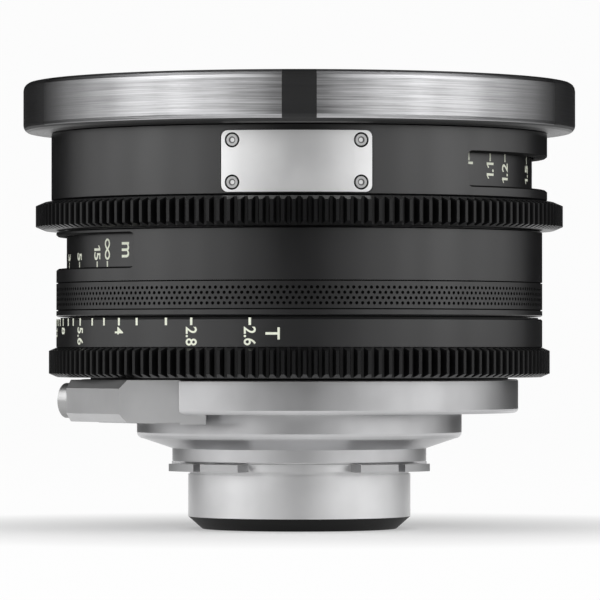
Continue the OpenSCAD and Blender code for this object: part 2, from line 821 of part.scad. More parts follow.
module data_port() {
  color("#b9b9b6") difference() {
    union() {
      at_az(port_az)
        intersection() {
          translate([0, 0, z_port])
            linear_extrude(z_journal - z_port) polygon(port_outline(port_root, 0, 0));
          rotate([90, 0, 0])
            linear_extrude(4 * port_face_w, center = true)
              polygon([
                [port_root, z_port], [port_face - port_chamfer[1], z_port],
                [port_face, z_port + port_chamfer[0]], [port_face, z_journal - port_chamfer[0]],
                [port_face - port_chamfer[1], z_journal], [port_root, z_journal]
              ]);
        }
      port_lip();
    }
    port_bolts() screw_hole(port_lip_t);
    at_connector()
      translate([0, 0, -connector_depth])
        cylinder(r = connector_r + fit_clear, h = connector_depth + over);
  }
}

// Plate under the flange that the port is screwed on with
module port_lip() {
  difference() {
    intersection() {
      at_az(port_az)
        translate([0, 0, z_port_lip])
          linear_extrude(port_lip_t)
            polygon(port_outline(port_lip_root, 0, -port_depth + screw_head_d));
      translate([-port_lip_end - 2 * flange_r, -flange_r, z_port_lip - over])
        cube([2 * flange_r, 2 * flange_r, port_lip_t + 2 * over]);
    }
    cylinder(r = step_r + pass_clear, h = z_flange);
  }
}

module data_port_screws() {
  color("#8f8f8c") port_bolts() screw(port_lip_t - sink + thread_depth);
}

module connector_shell() {
  length = connector_depth + connector_len;
  color("#cfcfcc") at_connector()
    difference() {
      translate([0, 0, -connector_depth]) cylinder(r = connector_r, h = length);
      translate([0, 0, over - connector_depth]) cylinder(r = connector_bore_r, h = length);
    }
}

module connector_insert() {
  length = connector_depth - over + connector_len - connector_sink;
  color("#303032") at_connector()
    difference() {
      translate([0, 0, over - connector_depth]) cylinder(r = connector_bore_r - fit_clear, h = length);
      connector_pins(fit_clear, over);
    }
}

// Contacts on a circle and one in the middle
module connector_pins(gap, extra) {
  z0 = over - connector_depth + contact_d;
  z1 = connector_len - connector_sink / 2;
  for (i = [0 : contact_ring])
    rotate([0, 0, 360 * i / contact_ring])
      translate([i == contact_ring ? 0 : contact_circle_d / 2, 0, z0 - gap])
        cylinder(r = contact_d / 2 + gap, h = z1 - z0 + gap + extra);
}

module connector_contacts() {
  color("#d8b45a") at_connector() connector_pins(0, 0);
}

module iris_journal() {
  color("#1b1b1c") difference() {
    turned([
      [journal_floor_r, z_journal], [journal_r, z_journal], [journal_r, z_main], [journal_bore_r, z_main],
      [journal_bore_r, z_plate], [journal_floor_r, z_plate]
    ]);
    at_az(drive_az + iris_rest - iris_throw / 2)
      arc_block(
        journal_bore_r - over, journal_r + over, iris_throw / 2 + drive_slot_edge,
        z_drive - drive_pin_d / 2 - cam_clear, z_drive + drive_pin_d / 2 + cam_clear
      );
    screw_holes(journal_bolts);
    screw_holes(plate_bolts);
    screw_holes(main_bolts);
  }
}

module iris_plate() {
  color("#2a2a2b") difference() {
    ring(iris_open_r, journal_bore_r - fit_clear, z_plate, z_plate_top);
    screw_holes(plate_bolts);
    for (i = [1 : blade_count])
      at_blade(i)
        translate([pivot_r, 0, z_plate - over])
          cylinder(r = pivot_d / 2 + run_clear, h = iris_plate_t + 2 * over);
  }
}

module iris_plate_screws() {
  color("#4a4a4c") screws(plate_bolts);
}

// Pivot of blade i on X
module at_blade(i) {
  at_az(360 * (i - 1) / blade_count) children();
}

module main_barrel() {
  z_window_top = z_main_top - window_margin;
  z_window = z_window_top - window_h;
  z_grip = z_main + grip_margin;
  color("#1e1e20") difference() {
    turned([
      [main_opening_d / 2, z_main], [main_r - edge_break, z_main], [main_r, z_main + edge_break],
      [main_r, z_grip], [main_r - grip_t, z_grip],
      [main_r - grip_t, z_grip + grip_w], [main_r, z_grip + grip_w],
      [main_r, z_main_top - edge_break], [main_r - edge_break, z_main_top], [barrel_bore_r, z_main_top],
      [barrel_bore_r, z_foot], [main_opening_d / 2, z_foot]
    ]);
    panel(
      -90, barrel_bore_r - over, main_r + over, main_r * window_half,
      z_window, z_window_top, window_corner
    );
    screw_holes(main_bolts);
    screw_holes(foot_bolts);
  }
}

module grip_band() {
  z_grip = z_main + grip_margin;
  color("#29292b") ring(main_r - grip_t + fit_clear, main_r, z_grip, z_grip + grip_w);
}

module inner_barrel() {
  color("#3a3a3c") difference() {
    turned([
      [inner_bore_r, z_foot], [scale_r, z_foot],
      [scale_r, z_foot + inner_foot_t], [inner_r, z_foot + inner_foot_t],
      [inner_r, z_web], [front_cell_r + fit_clear, z_web], [front_cell_r + fit_clear, z_web - inner_foot_t],
      [inner_bore_r, z_web - inner_foot_t]
    ]);
    for (i = [0 : follower_count - 1])
      at_follower(i) {
        for (z = [z_follow_far, z_follow_near])
          translate([0, 0, z]) rotate([0, 90, 0]) cylinder(r = follower_r + guide_clear, h = scale_r);
        translate([0, -follower_r - guide_clear, z_follow_far])
          cube([scale_r, follower_d + 2 * guide_clear, focus_travel]);
      }
    screw_holes(foot_bolts);
    screw_holes(web_bolts);
  }
}

// Follower i on X
module at_follower(i) {
  at_az(follower_az + 360 * i / follower_count) children();
}

module barrel_screws() {
  color("#4a4a4c") {
    screws(main_bolts);
    screws(foot_bolts);
    screws(web_bolts);
  }
}

module front_barrel() {
  z_window = z_front + front_window_margin;
  z_window_top = z_window + window_h;
  color("#1e1e20") difference() {
    turned([
      [barrel_bore_r, z_front], [front_r - edge_break, z_front], [front_r, z_front + edge_break],
      [front_r, z_ring - edge_break], [front_r - edge_break, z_ring], [front_cell_r + fit_clear, z_ring],
      [front_cell_r + fit_clear, z_web], [barrel_bore_r, z_web]
    ]);
    panel(
      90, barrel_bore_r - over, front_r + over, front_r * window_half,
      z_window, z_window_top, window_corner
    );
    plate_block(front_r - plate_t - fit_clear, front_r + over, plate_gap);
    plate_bolts_at() plate_screw(fit_clear, over);
    screw_holes(web_bolts);
    screw_holes(ring_bolts);
    screw_holes(front_bolts);
  }
}

// Screws of the nameplate, with Z outwards and the surface of the plate at the origin
module plate_bolts_at() {
  half = plate_angle / 2 - plate_screw_angle;
  z0 = z_front + plate_margin;
  for (a = [-half, half], z = [z0 + plate_screw_margin, z0 + plate_h - plate_screw_margin])
    at_az(plate_azimuth + a) translate([front_r, 0, z]) rotate([0, 90, 0]) children();
}

module plate_screw(gap, extra) {
  reach = front_wall - pass_clear / 2;
  translate([0, 0, -reach - gap]) cylinder(r = plate_shank_d / 2 + gap, h = reach - plate_head_h / 2 + gap);
  translate([0, 0, -plate_head_h]) cylinder(r = plate_head_d / 2 + gap, h = plate_head_h + extra);
}

// Wall of the front barrel inside the nameplate's outline, grown by a gap
module plate_block(r0, r1, gap) {
  half_w = front_r * sin(plate_angle / 2) + gap;
  z0 = z_front + plate_margin - gap;
  panel(plate_azimuth, r0, r1, half_w, z0, z0 + plate_h + 2 * gap, plate_corner + gap);
}

module nameplate() {
  color("#c4c4c1") difference() {
    plate_block(front_r - plate_t, front_r, 0);
    plate_bolts_at() {
      translate([0, 0, -plate_head_h]) cylinder(d = plate_sink_d, h = plate_head_h + over);
      plate_screw(fit_clear, over);
    }
  }
}

module nameplate_screws() {
  color("#6d6d70") plate_bolts_at()
    difference() {
      plate_screw(0, 0);
      translate([0, 0, -plate_head_h / 2]) cylinder(d = plate_head_d / 2, h = plate_head_h, $fn = 6);
    }
}

module front_ring() {
  color("#b4b4b2") difference() {
    turned(concat(
      [[ring_flange_bore_r, z_ring]],
      quarter([ring_r - ring_corner, z_ring + ring_corner], ring_corner, -90),
      quarter([ring_r - ring_nose, z_top - ring_nose], ring_nose, 0),
      [[front_bore_r, z_top]],
      [[front_bore_r, z_bezel + bezel_h], [bezel_r + fit_clear, z_bezel + bezel_h]],
      [[bezel_r + fit_clear, z_bezel], [ring_flange_bore_r, z_bezel]]
    ));
    screw_holes(ring_bolts);
  }
}

module front_cell() {
  z_collar = z_bezel + front_collar_h;
  z_bore_2 = z_front_glass_2 + retainer_h + air_gap;
  seat_r = front_cell_r - retainer_w;
  color("#1b1b1c") difference() {
    turned([
      [front_bore_2_r - glass_lip, z_front_cell], [front_cell_r, z_front_cell], [front_cell_r, z_ring],
      [front_flange_r, z_ring], [front_flange_r, z_bezel],
      [front_collar_r, z_bezel], [front_collar_r, z_collar],
      [front_glass_bore_r, z_collar], [front_glass_bore_r, z_front_seat], [seat_r, z_front_seat],
      [front_bore_2_r, z_bore_2 + edge_rise(front_glass_2[1], front_glass_2_r)],
      [front_bore_2_r, z_front_cell + glass_lip], [front_bore_2_r - glass_lip, z_front_cell + glass_lip]
    ]);
    screw_holes(front_bolts);
  }
}

module front_screws() {
  color("#4a4a4c") {
    screws(ring_bolts);
    screws(front_bolts);
  }
}

module front_element_1() {
  color("#9fb6c4") element(front_glass_1, front_glass_r, z_front_seat + front_glass_1[0]);
}

module front_element_2() {
  color("#9fb6c4") element(front_glass_2, front_glass_2_r, z_front_glass_2);
}

module front_retainers() {
  color("#1b1b1c") {
    retainer(front_glass_1, front_glass_r, z_front_seat + front_glass_1[0]);
    retainer(front_glass_2, front_glass_2_r, z_front_glass_2);
  }
}

module front_bezel() {
  z_lip = z_bezel + front_collar_h + air_gap;
  lip_r = front_glass_r - 2 * retainer_w;
  color("#161617") turned([
    [front_collar_r + fit_clear, z_bezel], [bezel_r, z_bezel],
    [bezel_r, z_bezel + bezel_h], [bezel_r - bezel_h, z_bezel + bezel_h],
    [lip_r, z_lip + edge_break], [lip_r, z_lip], [front_collar_r + fit_clear, z_lip]
  ]);
}

module focus_gear() {
  color("#141415") gear(focus_teeth, scale_r + fit_clear, z_focus, z_focus_top);
}

module focus_scale_sleeve() {
  color("#202022") ring(cam_r + fit_clear, scale_r, z_sleeve, z_sleeve_top);
}

module focus_cam_sleeve() {
  color("#77777a") difference() {
    ring(cam_bore_r, cam_r, z_sleeve, z_sleeve_top);
    for (i = [0 : follower_count - 1]) at_follower(i) cam_slot();
  }
}

// Helical slot that passes X at the follower, in straight steps, with square ends beyond the travel
module cam_slot() {
  half = follower_r + cam_clear;
  beyond = asin(half / inner_r);
  steps = ceil(focus_throw / cam_slot_step);
  step = (focus_throw + 2 * beyond) / steps;
  chord = 2 * scale_r * tan(step / 2);
  slope = atan(focus_lead * 180 / PI / cam_r);
  for (i = [0 : steps - 1]) {
    turn = -focus_rest - beyond + step * (i + 0.5);
    rotate([0, 0, -turn])
      translate([inner_r - over, 0, z_follow + focus_lead * turn])
        rotate([-slope, 0, 0])
          translate([0, -chord / 2, -half]) cube([scale_r - inner_r + over, chord, 2 * half]);
  }
}

module focus_carriage() {
  rim_r = carriage_r - carriage_wall;
  color("#4d4d50") difference() {
    turned([
      [carriage_bore_r - glass_lip, z_carriage_end], [carriage_cell_r, z_carriage_end],
      [carriage_cell_r, z_carriage_web], [rim_r, z_carriage_web],
      [rim_r, z_carriage], [carriage_r, z_carriage],
      [carriage_r, z_carriage_top], [rim_r, z_carriage_top], [rim_r, z_carriage_web + carriage_web],
      [carriage_cell_r, z_carriage_web + carriage_web], [carriage_cell_r, z_carriage_top],
      [carriage_bore_r, z_carriage_top], [carriage_bore_r, z_carriage_end + glass_lip],
      [carriage_bore_r - glass_lip, z_carriage_end + glass_lip]
    ]);
    followers(fit_clear);
  }
}

module followers(gap) {
  reach = cam_r - pass_clear - carriage_r + carriage_wall;
  for (i = [0 : follower_count - 1])
    at_follower(i)
      translate([carriage_r - carriage_wall - gap, 0, z_follow])
        rotate([0, 90, 0]) cylinder(r = follower_r + gap, h = reach + gap);
}

module focus_followers() {
  color("#b0b0ae") followers(0);
}

module focus_element(i) {
  color("#9fb6c4")
    element(focus_glass[i - 1], focus_glass_r, glass_top(focus_glass, focus_glass_r, z_focus_glass, i - 1));
}

module focus_spacer() {
  color("#232324") spacer(focus_glass, focus_glass_r, z_focus_glass, 0);
}

module focus_retainer() {
  color("#232324") retainer(focus_glass[0], focus_glass_r, z_focus_glass);
}

module iris_gear() {
  color("#141415") gear(iris_teeth, iris_seat_r + fit_clear, z_iris, z_iris_scale);
}

module iris_scale_ring() {
  color("#1e1e20") difference() {
    turned([
      [iris_bore_r, z_iris], [iris_seat_r, z_iris], [iris_seat_r, z_iris_scale], [main_r, z_iris_scale],
      [main_r, z_iris_top - edge_break], [main_r - edge_break, z_iris_top],
      [main_r - iris_groove_w, z_iris_top], [main_r - iris_groove_w, z_main - iris_lip_gap],
      [iris_bore_r, z_main - iris_lip_gap]
    ]);
    drive_pin(fit_clear);
  }
}

module drive_pin(gap) {
  at_az(drive_az)
    translate([cam_rim_r - gap, 0, z_drive])
      rotate([0, 90, 0])
        cylinder(r = drive_pin_d / 2 + gap, h = iris_bore_r + drive_pin_grip - cam_rim_r + 2 * gap);
}

module iris_cam_ring() {
  color("#8a8a8c") difference() {
    turned([
      [cam_inner_r, z_cam], [cam_rim_r, z_cam], [cam_rim_r, z_cam_rim], [cam_ring_r, z_cam_rim],
      [cam_ring_r, z_cam_top], [cam_inner_r, z_cam_top]
    ]);
    for (i = [1 : blade_count]) at_blade(i) spiral_slot();
    drive_pin(fit_clear);
  }
}

// Slot that the cam pin of a blade runs in
module spiral_slot() {
  turns = [for (i = [0 : cam_slot_steps]) iris_throw * i / cam_slot_steps];
  path = [for (t = turns) cam_point(t)];
  ahead = [for (t = turns) cam_point(t + 1) - cam_point(t - 1)];
  side = [for (d = ahead) cam_slot_r * [-d[1], d[0]] / norm(d)];
  outline = concat(
    [for (i = [0 : cam_slot_steps]) path[i] + side[i]],
    slot_end(path[cam_slot_steps], ahead[cam_slot_steps]),
    [for (i = [cam_slot_steps : -1 : 0]) path[i] - side[i]],
    slot_end(path[0], -ahead[0])
  );
  translate([0, 0, z_cam - over]) linear_extrude(cam_ring_t + 2 * over) polygon(outline);
}

// Points of the round end of a slot that runs on in the given direction
function slot_end(center, ahead) =
  [for (i = [1 : 2 * quarter_steps - 1])
    center + cam_slot_r * turned_by(ahead / norm(ahead), 90 - 90 * i / quarter_steps)];

module iris_drive_pin() {
  color("#b0b0ae") drive_pin(0);
}

// Blade i, turned on its pivot as far as shown
module iris_blade(i) {
  z0 = z_blades + (i - 1) * blade_pitch;
  z1 = z0 + blade_t;
  color("#3c3c3f") at_blade(i)
    translate([pivot_r, 0, 0])
      rotate([0, 0, blade_turn])
        translate([-pivot_r, 0, 0])
          union() {
            rotate([0, 0, -blade_tail])
              rotate_extrude(angle = blade_arc)
                polygon([[iris_open_r, z0], [blade_outer_r, z0], [blade_outer_r, z1], [iris_open_r, z1]]);
            translate([0, 0, z0]) blade_ear();
            translate([pivot_r, 0, z_plate]) cylinder(d = pivot_d, h = z1 - z_plate);
            translate([pivot_r, -blade_arm, z0]) cylinder(d = cam_pin_d, h = z_cam_top - z0);
          }
}

// Ear of a blade, from its strip to the pivot and on to the cam pin
module blade_ear() {
  ear_r = pivot_d;
  linear_extrude(blade_t)
    polygon([
      [blade_outer_r - ear_r, -2 * ear_r], [blade_outer_r - ear_r, 2 * ear_r], [pivot_r, ear_r],
      [pivot_r + ear_r, 0], [pivot_r + ear_r, -blade_arm], [pivot_r, -blade_arm - ear_r],
      [pivot_r - ear_r, -blade_arm], [pivot_r - ear_r, -2 * ear_r]
    ]);
}

rear_baffle();
lens_mount();
mount_shim();
mount_base();
mount_screws();
rear_housing();
housing_screws();
rear_cell();
for (i = [1 : len(rear_glass)]) rear_element(i);
rear_spacers();
rear_retainer();
data_port();
data_port_screws();
connector_shell();
connector_insert();
connector_contacts();
iris_journal();
iris_plate();
iris_plate_screws();
main_barrel();
grip_band();
inner_barrel();
barrel_screws();
front_barrel();
nameplate();
nameplate_screws();
front_ring();
front_cell();
front_screws();
front_element_1();
front_element_2();
front_retainers();
front_bezel();
focus_gear();
focus_scale_sleeve();
focus_cam_sleeve();
focus_carriage();
focus_followers();
for (i = [1 : len(focus_glass)]) focus_element(i);
focus_spacer();
focus_retainer();
iris_gear();
iris_scale_ring();
iris_cam_ring();
iris_drive_pin();
for (i = [1 : blade_count]) iris_blade(i);
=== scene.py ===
"""Looks of a cinema prime lens: materials, scale marks, dimpled grip, studio light and camera."""

import json
import math

import bmesh
import bpy
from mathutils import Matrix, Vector


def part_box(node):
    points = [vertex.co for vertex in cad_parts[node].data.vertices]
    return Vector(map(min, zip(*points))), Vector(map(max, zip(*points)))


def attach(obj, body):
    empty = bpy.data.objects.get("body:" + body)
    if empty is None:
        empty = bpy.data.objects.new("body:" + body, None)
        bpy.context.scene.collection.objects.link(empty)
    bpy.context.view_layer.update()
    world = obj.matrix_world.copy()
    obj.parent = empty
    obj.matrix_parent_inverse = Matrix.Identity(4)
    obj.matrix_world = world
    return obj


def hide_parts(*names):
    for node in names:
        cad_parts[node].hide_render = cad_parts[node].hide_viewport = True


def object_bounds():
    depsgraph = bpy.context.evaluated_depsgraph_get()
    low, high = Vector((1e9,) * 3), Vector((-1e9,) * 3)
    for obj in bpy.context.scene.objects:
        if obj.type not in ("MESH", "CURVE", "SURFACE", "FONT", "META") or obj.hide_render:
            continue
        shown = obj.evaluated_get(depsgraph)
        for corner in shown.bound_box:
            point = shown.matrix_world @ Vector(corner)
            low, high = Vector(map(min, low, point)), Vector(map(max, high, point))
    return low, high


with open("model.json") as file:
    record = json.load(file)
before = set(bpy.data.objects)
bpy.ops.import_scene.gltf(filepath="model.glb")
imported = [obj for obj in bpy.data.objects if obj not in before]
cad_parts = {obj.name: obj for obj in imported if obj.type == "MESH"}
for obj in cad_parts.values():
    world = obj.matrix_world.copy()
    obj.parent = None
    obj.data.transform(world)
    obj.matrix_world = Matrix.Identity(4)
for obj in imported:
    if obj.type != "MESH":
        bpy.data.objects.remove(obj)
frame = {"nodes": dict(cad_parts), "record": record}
cad_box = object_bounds()
nodes = frame["nodes"]

MM = 0.001

# Camera, fitted to the photograph: place and aim in metres, lens and sensor in millimetres
CAMERA_AT = (0.17 * MM, -1.2256, 42.53 * MM)
CAMERA_AIM = (0.17 * MM, 0.0, 55.45 * MM)
CAMERA_LENS = 302.5
CAMERA_CLIP = (0.05, 20.0)
SENSOR = 36.0

# Painted figures: heights of capitals in metres, then capital height, gap and added weight in ems
CAP_H = 2.7 * MM
FAR_CAP = 3.6 * MM
UNIT_CAP = 3.65 * MM
SIGN_CAP = 3.2 * MM
CAP_EM = 0.682
FIGURE_GAP = 0.07
FIGURE_BOLD = 0.014
FIGURE_STEPS = 5

# Stretch of the figures along their line, and the flag of the figure 1 in ems
FOCUS_STRETCH = 1.15
STOP_STRETCH = 0.92
ONE_FLAG = ((0.2025, 0.682), (0.04, 0.56), (0.04, 0.455), (0.2025, 0.575))

# Paint: widths of ticks, how far it reaches out of and into its surface, and distance that merges points
TICK_W = 0.6 * MM
FOCUS_TICK_W = 0.5 * MM
PAINT_OUT = 0.03 * MM
PAINT_IN = 0.05 * MM
PAINT_MERGE = 0.001 * MM

# Iris scale: azimuths of the stops, of the ticks between them and of the sign
STOPS = {
    "2.6": -11.2, "2.8": -25.2, "4": -45.9, "5.6": -61.9, "8": -73.6, "11": -83.0, "16": -91.0, "22": -98.0,
}
STOP_TICKS = (-31.8, -40.2, -51.3, -56.1, -65.9, -69.3, -76.9, -80.1, -85.8, -88.5)
STOP_SIGN = ("T", -6.0)

# Iris scale: top of the ticks below the ring's edge, their length, and starts of the text below that top
STOP_EDGE = 0.25 * MM
STOP_TICK_L = 1.75 * MM
STOP_TEXT = 2.1 * MM
SIGN_TEXT = 2.3 * MM

# Focus scale: turn of the ring from far to each distance, azimuth of far in each window, turn to the unit
DISTANCES = {
    "∞": 0.0, "15": 4.6, "5": 14.9, "3": 25.0, "2": 36.6, "1.5": 51.7, "1.2": 66.8, "1.1": 73.6,
    "1": 81.7, "0.8": 104.7, "0.7": 122.0, "0.6": 145.0, "0.5": 179.0, "0.45": 198.0,
}
FAR_LEFT = -53.4
FAR_RIGHT = 126.6
UNIT_SIGN = ("m", 7.0)

# Focus scale from a window's edge: ticks under the barrel and in view, gap to the text, place of the unit
TICK_UNDER = 0.4 * MM
LEFT_TICK = 1.8 * MM
RIGHT_TICK = 2.2 * MM
TEXT_GAP = 0.3 * MM
UNIT_AT = 6.2 * MM

# Windows: heights, half angle and corner, then inset and drop of their sloped edge, its sink and points
WINDOW_LEFT = (62.5 * MM, 71.1 * MM)
WINDOW_RIGHT = (81.5 * MM, 90.1 * MM)
WINDOW_HALF = 48.9
WINDOW_CORNER = 1.0 * MM
WINDOW_SLOPE = (0.4 * MM, 0.5 * MM)
WINDOW_SINK = 0.02 * MM
CORNER_STEPS = 6
SIDE_STEPS = 48
BARREL_BORE = 57.05 * MM

# Index lines: azimuth, and both ends as distances from the barrel's edge or from the window's edge
INDEX_AZ = 90.0
IRIS_INDEX = (0.35 * MM, 1.3 * MM)
LEFT_INDEX = (2.3 * MM, 0.1 * MM)
RIGHT_INDEX = (0.1 * MM, 2.2 * MM)

# Nameplate: azimuth, height and radius of its face, places of its screws, and radii of the painted shade
# round them and of the painted highlight in their sockets
PLATE_AZ = -0.6
PLATE_MID_Z = 87.05 * MM
PLATE_R = 60.2 * MM
PLATE_SCREW_AZ = 14.4
PLATE_SCREW_Z = 4.9 * MM
SINK_SHADE_R = 1.76 * MM
SOCKET_SHADE_R = 0.8 * MM
SOCKET_HIGHLIGHT_R = 0.5 * MM

# Grip: dimples in staggered rows, share of their radius at the floor, lines at the edges, and the wall
GRIP_DOTS = 262
GRIP_ROWS = (54.2 * MM, 55.4 * MM, 56.66 * MM, 57.86 * MM)
GRIP_DOT_R = 0.41 * MM
GRIP_FLOOR = 0.6
GRIP_DEPTH = 0.5 * MM
GRIP_SIDES = 8
GRIP_LINE = (0.3 * MM, 0.4 * MM)
GRIP_WALL = 0.75 * MM

# Front ring: half widths of its black fields and reach of the painted shade beside them, in degrees
FIELD_FRONT = 3.45
FIELD_SIDE = 25.0
PAINTED_SHADE_REACH = 40.0

# Front ring: darkest share of the silver in its painted shade, added roughness of the black, radius of the
# bore, top of the lip
PAINTED_SHADE_SHARE = 0.25
FIELD_DULL = 0.1
RING_BORE = 61.6 * MM
RING_LIP = 96.7 * MM

# Brushed streaks: scale along per degree, across per metre, detail; then share, colour, gloss and depth
STREAKS_FINE = (0.06, 4200.0, 4.0)
STREAKS_BROAD = (0.02, 2200.0, 2.0)
FINE_SHARE = 0.75
STREAK_COLOR = (0.55, 1.4)
STREAK_GLOSS = (0.28, 0.4)
STREAK_DEPTH = 0.25

# Part of a noise's range that is spread over its whole effect
NOISE_MIDDLE = (0.3, 0.7)

# Satin surfaces: scales of grain and clouds, their reach in colour and gloss, and height of the relief
GRAIN = 2600.0
PAINT_GRAIN = 4000.0
GRAIN_GLOSS = 0.006
CLOUDS = 70.0
CLOUD_COLOR = 0.07
CLOUD_GLOSS = 0.02
RELIEF = 0.02 * MM

# Groove of the iris scale ring that holds painted shade, and how much duller the shade makes it
GROOVE_Z = 50.72 * MM
GROOVE_R = 57.9 * MM
GROOVE_DULL = 0.6
# Radius beyond which the mount's tabs are darker
TAB_R = 28.95 * MM

# Glass, its coating with a thickness in nanometres, and scale and gloss of its dust
GLASS_IOR = 1.52
COATING_NM = 260.0
COATING_IOR = 1.38
DUST = 900.0
DUST_GLOSS = 0.02

# Paper sweep: half width at each end, ends, bend, height, steps of the bend, and gap under the lens
SWEEP_W = (0.22, 0.32)
SWEEP_FRONT = -0.42
SWEEP_BACK = 2.6
SWEEP_R = 0.4
SWEEP_H = 0.6
SWEEP_STEPS = 16
SWEEP_GAP = 0.05 * MM

# Paper: radii between which its plain white share grows, and that share at both; the low share near the lens
# is painted shade beside the lamps' real shadow
PAPER_SHADE_RADII = (0.04, 0.13)
PAPER_SHARE = (0.3, 0.97)

# Light arc on each side: from and to azimuth, lower and upper edge, brightness
LIGHT_ARC = (
    (12, 26, 0.0, 1.2, 0.88), (26, 42, 0.0, 1.1, 1.7), (42, 58, 0.0, 1.0, 2.3), (58, 82, 0.0, 1.0, 2.5),
    (82, 98, 0.0, 0.7, 1.6), (98, 114, 0.0, 0.5, 1.0), (114, 128, 0.0, 0.5, 0.4),
)
LIGHT_DISTANCE = 0.9
LIGHT_AIM_Z = 55 * MM

# Colours of the barrels, the paint and the room
BLACK = (0.006, 0.006, 0.0065)
PAINT = (0.9, 0.93, 0.78)
ROOM = (0.01, 0.01, 0.0103)


def grey(k):
    """A neutral colour."""
    return (k, k, k)


def shaded(color, k):
    """A colour made darker or lighter by a factor."""
    return tuple(min(1.0, c * k) for c in color)


def shader(name, color, metallic, roughness):
    """A new material with its Principled shader set."""
    mat = bpy.data.materials.new(name)
    mat.use_nodes = True
    tree = mat.node_tree
    bsdf = tree.nodes["Principled BSDF"]
    bsdf.inputs["Base Color"].default_value = (*color, 1)
    bsdf.inputs["Metallic"].default_value = metallic
    bsdf.inputs["Roughness"].default_value = roughness
    return mat, tree, bsdf


def math_node(tree, operation, *values):
    """A Math node; each value is a number or a socket."""
    n = tree.nodes.new("ShaderNodeMath")
    n.operation = operation
    for socket, value in zip(n.inputs, values):
        if isinstance(value, (int, float)):
            socket.default_value = value
        else:
            tree.links.new(value, socket)
    return n.outputs[0]


def distance(tree, a, b):
    """Length of the diagonal over two sides."""
    squares = math_node(tree, "ADD", math_node(tree, "MULTIPLY", a, a), math_node(tree, "MULTIPLY", b, b))
    return math_node(tree, "SQRT", squares)


def noise(tree, vector, scale, detail):
    """Noise between 0 and 1, mostly near the middle."""
    n = tree.nodes.new("ShaderNodeTexNoise")
    n.inputs["Scale"].default_value = scale
    n.inputs["Detail"].default_value = detail
    tree.links.new(vector, n.inputs["Vector"])
    return n.outputs["Fac"]


def ramp(tree, value, start, end, low, high):
    """Maps a value from one range to another, within its ends."""
    n = tree.nodes.new("ShaderNodeMapRange")
    n.inputs["From Min"].default_value = start
    n.inputs["From Max"].default_value = end
    n.inputs["To Min"].default_value = low
    n.inputs["To Max"].default_value = high
    tree.links.new(value, n.inputs["Value"])
    return n.outputs["Result"]


def spread(tree, value, low, high):
    """Maps the middle of a noise to a range."""
    return ramp(tree, value, *NOISE_MIDDLE, low, high)


def mix_color(tree, factor, a, b):
    """A colour between a and b; each is a colour or a socket."""
    # Inputs 6 and 7 and output 2 are the node's colours
    n = tree.nodes.new("ShaderNodeMix")
    n.data_type = "RGBA"
    tree.links.new(factor, n.inputs["Factor"])
    for socket, value in ((n.inputs[6], a), (n.inputs[7], b)):
        if isinstance(value, tuple):
            socket.default_value = (*value, 1)
        else:
            tree.links.new(value, socket)
    return n.outputs[2]


def bump(tree, bsdf, height, strength):
    """Relief from a height socket."""
    n = tree.nodes.new("ShaderNodeBump")
    n.inputs["Strength"].default_value = strength
    n.inputs["Distance"].default_value = RELIEF
    tree.links.new(height, n.inputs["Height"])
    tree.links.new(n.outputs["Normal"], bsdf.inputs["Normal"])


def object_coords(tree):
    """Place of the shaded point on its object."""
    return tree.nodes.new("ShaderNodeTexCoord").outputs["Object"]


def polar(tree):
    """Azimuth in degrees, radius and height in metres of the shaded point."""
    split = tree.nodes.new("ShaderNodeSeparateXYZ")
    tree.links.new(object_coords(tree), split.inputs[0])
    x, y, z = split.outputs
    back = math_node(tree, "MULTIPLY", y, -1.0)
    turn = math_node(tree, "MULTIPLY", math_node(tree, "ARCTAN2", x, back), 180 / math.pi)
    return turn, distance(tree, x, y), z


def satin(name, color, metallic, roughness, grain=GRAIN, depth=0.12, specular=0.5):
    """Blasted or moulded surface: fine grain, slight clouds of colour and gloss."""
    mat, tree, bsdf = shader(name, color, metallic, roughness)
    bsdf.inputs["Specular IOR Level"].default_value = specular
    place = object_coords(tree)
    fine = noise(tree, place, grain, detail=2.0)
    cloud = noise(tree, place, CLOUDS, detail=3.0)
    darker, lighter = shaded(color, 1 - CLOUD_COLOR), shaded(color, 1 + CLOUD_COLOR)
    tint = mix_color(tree, spread(tree, cloud, 0.0, 1.0), darker, lighter)
    tree.links.new(tint, bsdf.inputs["Base Color"])
    fine_gloss = spread(tree, fine, -GRAIN_GLOSS, GRAIN_GLOSS)
    cloud_gloss = spread(tree, cloud, roughness - CLOUD_GLOSS, roughness + CLOUD_GLOSS)
    tree.links.new(math_node(tree, "ADD", fine_gloss, cloud_gloss), bsdf.inputs["Roughness"])
    bump(tree, bsdf, fine, depth)
    return mat


def recolored(mat, where, color):
    """The material with another colour where a socket is 1."""
    tree = mat.node_tree
    base = tree.nodes["Principled BSDF"].inputs["Base Color"]
    tree.links.new(mix_color(tree, where, base.links[0].from_socket, color), base)
    return mat


def anodised(name):
    """Smooth black of the barrels."""
    return satin(name, BLACK, 0.0, 0.305, depth=0.015, specular=0.76)


def painted_groove_shade(name):
    """Black anodised ring with painted shade in the groove at its upper edge: near black and duller there."""
    mat = anodised(name)
    tree = mat.node_tree
    _, radius, z = polar(tree)
    above = math_node(tree, "GREATER_THAN", z, GROOVE_Z)
    groove_shade = math_node(tree, "MULTIPLY", above, math_node(tree, "GREATER_THAN", radius, GROOVE_R))
    rough = tree.nodes["Principled BSDF"].inputs["Roughness"]
    dull = math_node(tree, "MULTIPLY", groove_shade, GROOVE_DULL)
    tree.links.new(math_node(tree, "ADD", rough.links[0].from_socket, dull), rough)
    # Painted shade: near-black colour in the groove
    return recolored(mat, groove_shade, grey(0.001))


def darker_tabs(name, color, outer):
    """Bright turned metal, darker on the tabs."""
    mat = satin(name, color, 1.0, 0.305, depth=0.01)
    _, radius, _ = polar(mat.node_tree)
    return recolored(mat, math_node(mat.node_tree, "GREATER_THAN", radius, TAB_R), outer)


